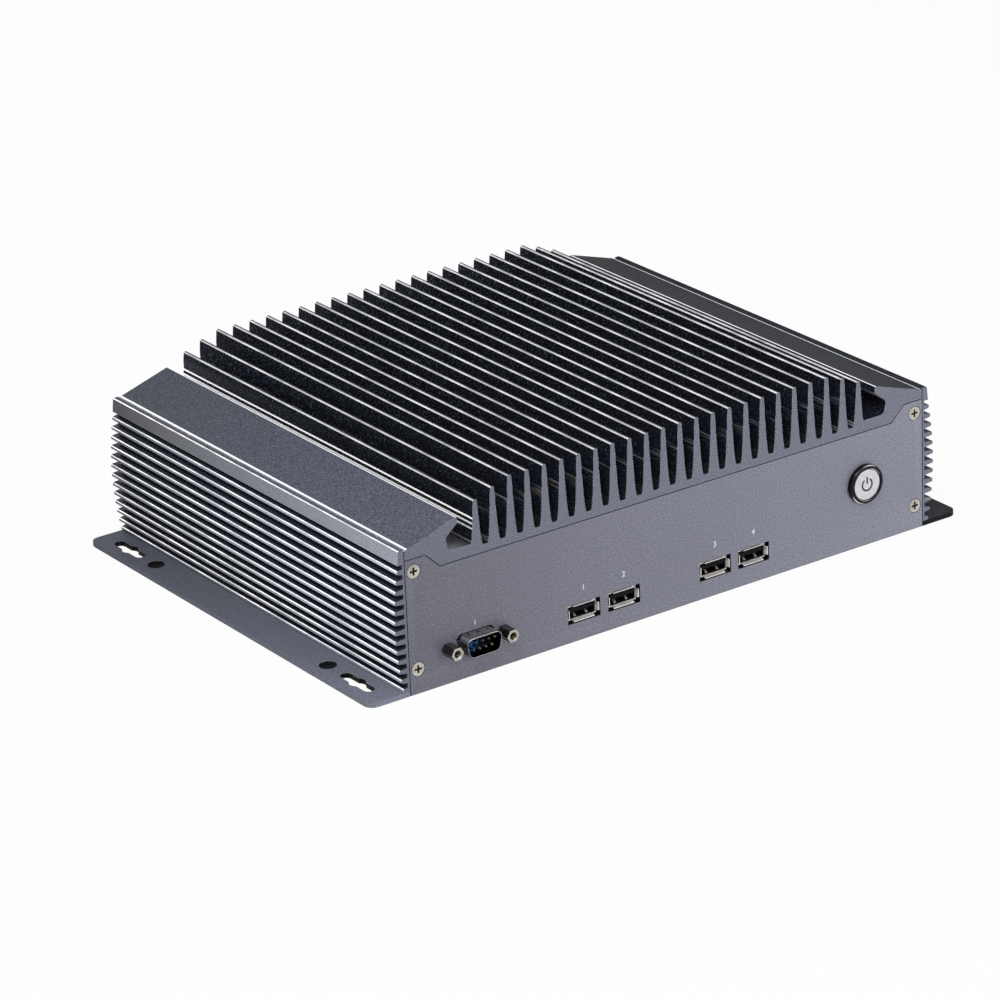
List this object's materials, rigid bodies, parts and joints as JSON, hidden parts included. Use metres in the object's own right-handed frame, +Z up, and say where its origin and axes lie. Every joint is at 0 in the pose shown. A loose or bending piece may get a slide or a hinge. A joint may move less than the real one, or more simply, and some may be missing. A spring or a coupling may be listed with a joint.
{
  "type": "fanless industrial computer",
  "caption": "Flat finned aluminium computer case with front sockets, a serial port, a round power button and slotted mounting flanges.",
  "frame": {"origin": "on the underside of the bottom plate, under the middle of the case", "axes": "+X to the right along the front with the ports, +Y from the front to the rear, +Z up out of the fins"},
  "size_m": [0.2804, 0.2074, 0.075],
  "materials": {
    "anodised_aluminium": "sandblasted anodised grey",
    "panel_aluminium": "sandblasted anodised grey with a slight violet tone",
    "plate_metal": "fine grey powder coat",
    "nickel_plate": "bright nickel",
    "screw_steel": "nickel plated",
    "black_chrome": "polished dark",
    "satin_steel": "satin",
    "spring_steel": "drawn wire",
    "brass_posts": "plain",
    "gold_contacts": "gold flash",
    "black_plastic": "moulded",
    "blue_plastic": "moulded",
    "green_plastic": "moulded",
    "black_rubber": "matt",
    "wire_jacket": "smooth",
    "circuit_board": "solder mask",
    "chip_package": "moulded",
    "plain_aluminium": "milled"
  },
  "bodies": {
    "case": {"antenna_hole_plugs": "black_rubber", "board_screws": "screw_steel", "board_standoffs": "brass_posts", "bottom_plate": "plate_metal", "bottom_plate_screws": "screw_steel", "capacitors": "chip_package", "card_posts": "brass_posts", "card_screws": "screw_steel", "card_sockets": "black_plastic", "coin_cell": "spring_steel", "coin_cell_holder": "black_plastic", "display_socket": "nickel_plate", "drive_cable": "wire_jacket", "drive_cable_plugs": "black_plastic", "drive_tray": "spring_steel", "drive_tray_posts": "brass_posts", "drive_tray_screws": "screw_steel", "front_panel": "panel_aluminium", "front_panel_screws": "screw_steel", "front_usb_contacts": "gold_contacts", "front_usb_shell_1": "nickel_plate", "front_usb_shell_2": "nickel_plate", "front_usb_shell_3": "nickel_plate", "front_usb_shell_4": "nickel_plate", "heat_block": "plain_aluminium", "heat_block_screws": "screw_steel", "left_side_heatsink": "anodised_aluminium", "memory_module": "circuit_board", "memory_socket": "black_plastic", "motherboard": "circuit_board", "mounting_hole_plugs": "black_rubber", "network_sockets": "nickel_plate", "power_button_bezel": "black_chrome", "power_button_lead": "wire_jacket", "power_button_nut": "black_chrome", "power_button_plugs": "black_plastic", "power_button_spring": "spring_steel", "power_button_switch": "black_plastic", "power_button_terminals": "brass_posts", "power_chokes": "chip_package", "power_inlet": "green_plastic", "power_inlet_pins": "brass_posts", "processor": "chip_package", "processor_thermal_pad": "chip_package", "rear_panel": "panel_aluminium", "rear_panel_screws": "screw_steel", "rear_usb_shells": "nickel_plate", "right_side_heatsink": "anodised_aluminium", "serial_port_insulator": "blue_plastic", "serial_port_jackscrews": "nickel_plate", "serial_port_pins": "gold_contacts", "serial_port_shell": "nickel_plate", "solid_state_drive": "circuit_board", "storage_drive": "spring_steel", "top_heatsink": "anodised_aluminium", "top_heatsink_screws": "screw_steel", "usb_tongues": "black_plastic", "wireless_card": "circuit_board"},
    "power_button": {"power_button_cap": "satin_steel", "power_button_symbol": "black_plastic"}
  },
  "joints": [
    {"name": "power_button_press", "type": "slide", "parent": "case", "child": "power_button", "axis": [0, 1, 0], "range_m": [0, 0.0015], "stiffness_N_per_m": 1500, "springref_m": -0.001}
  ]
}
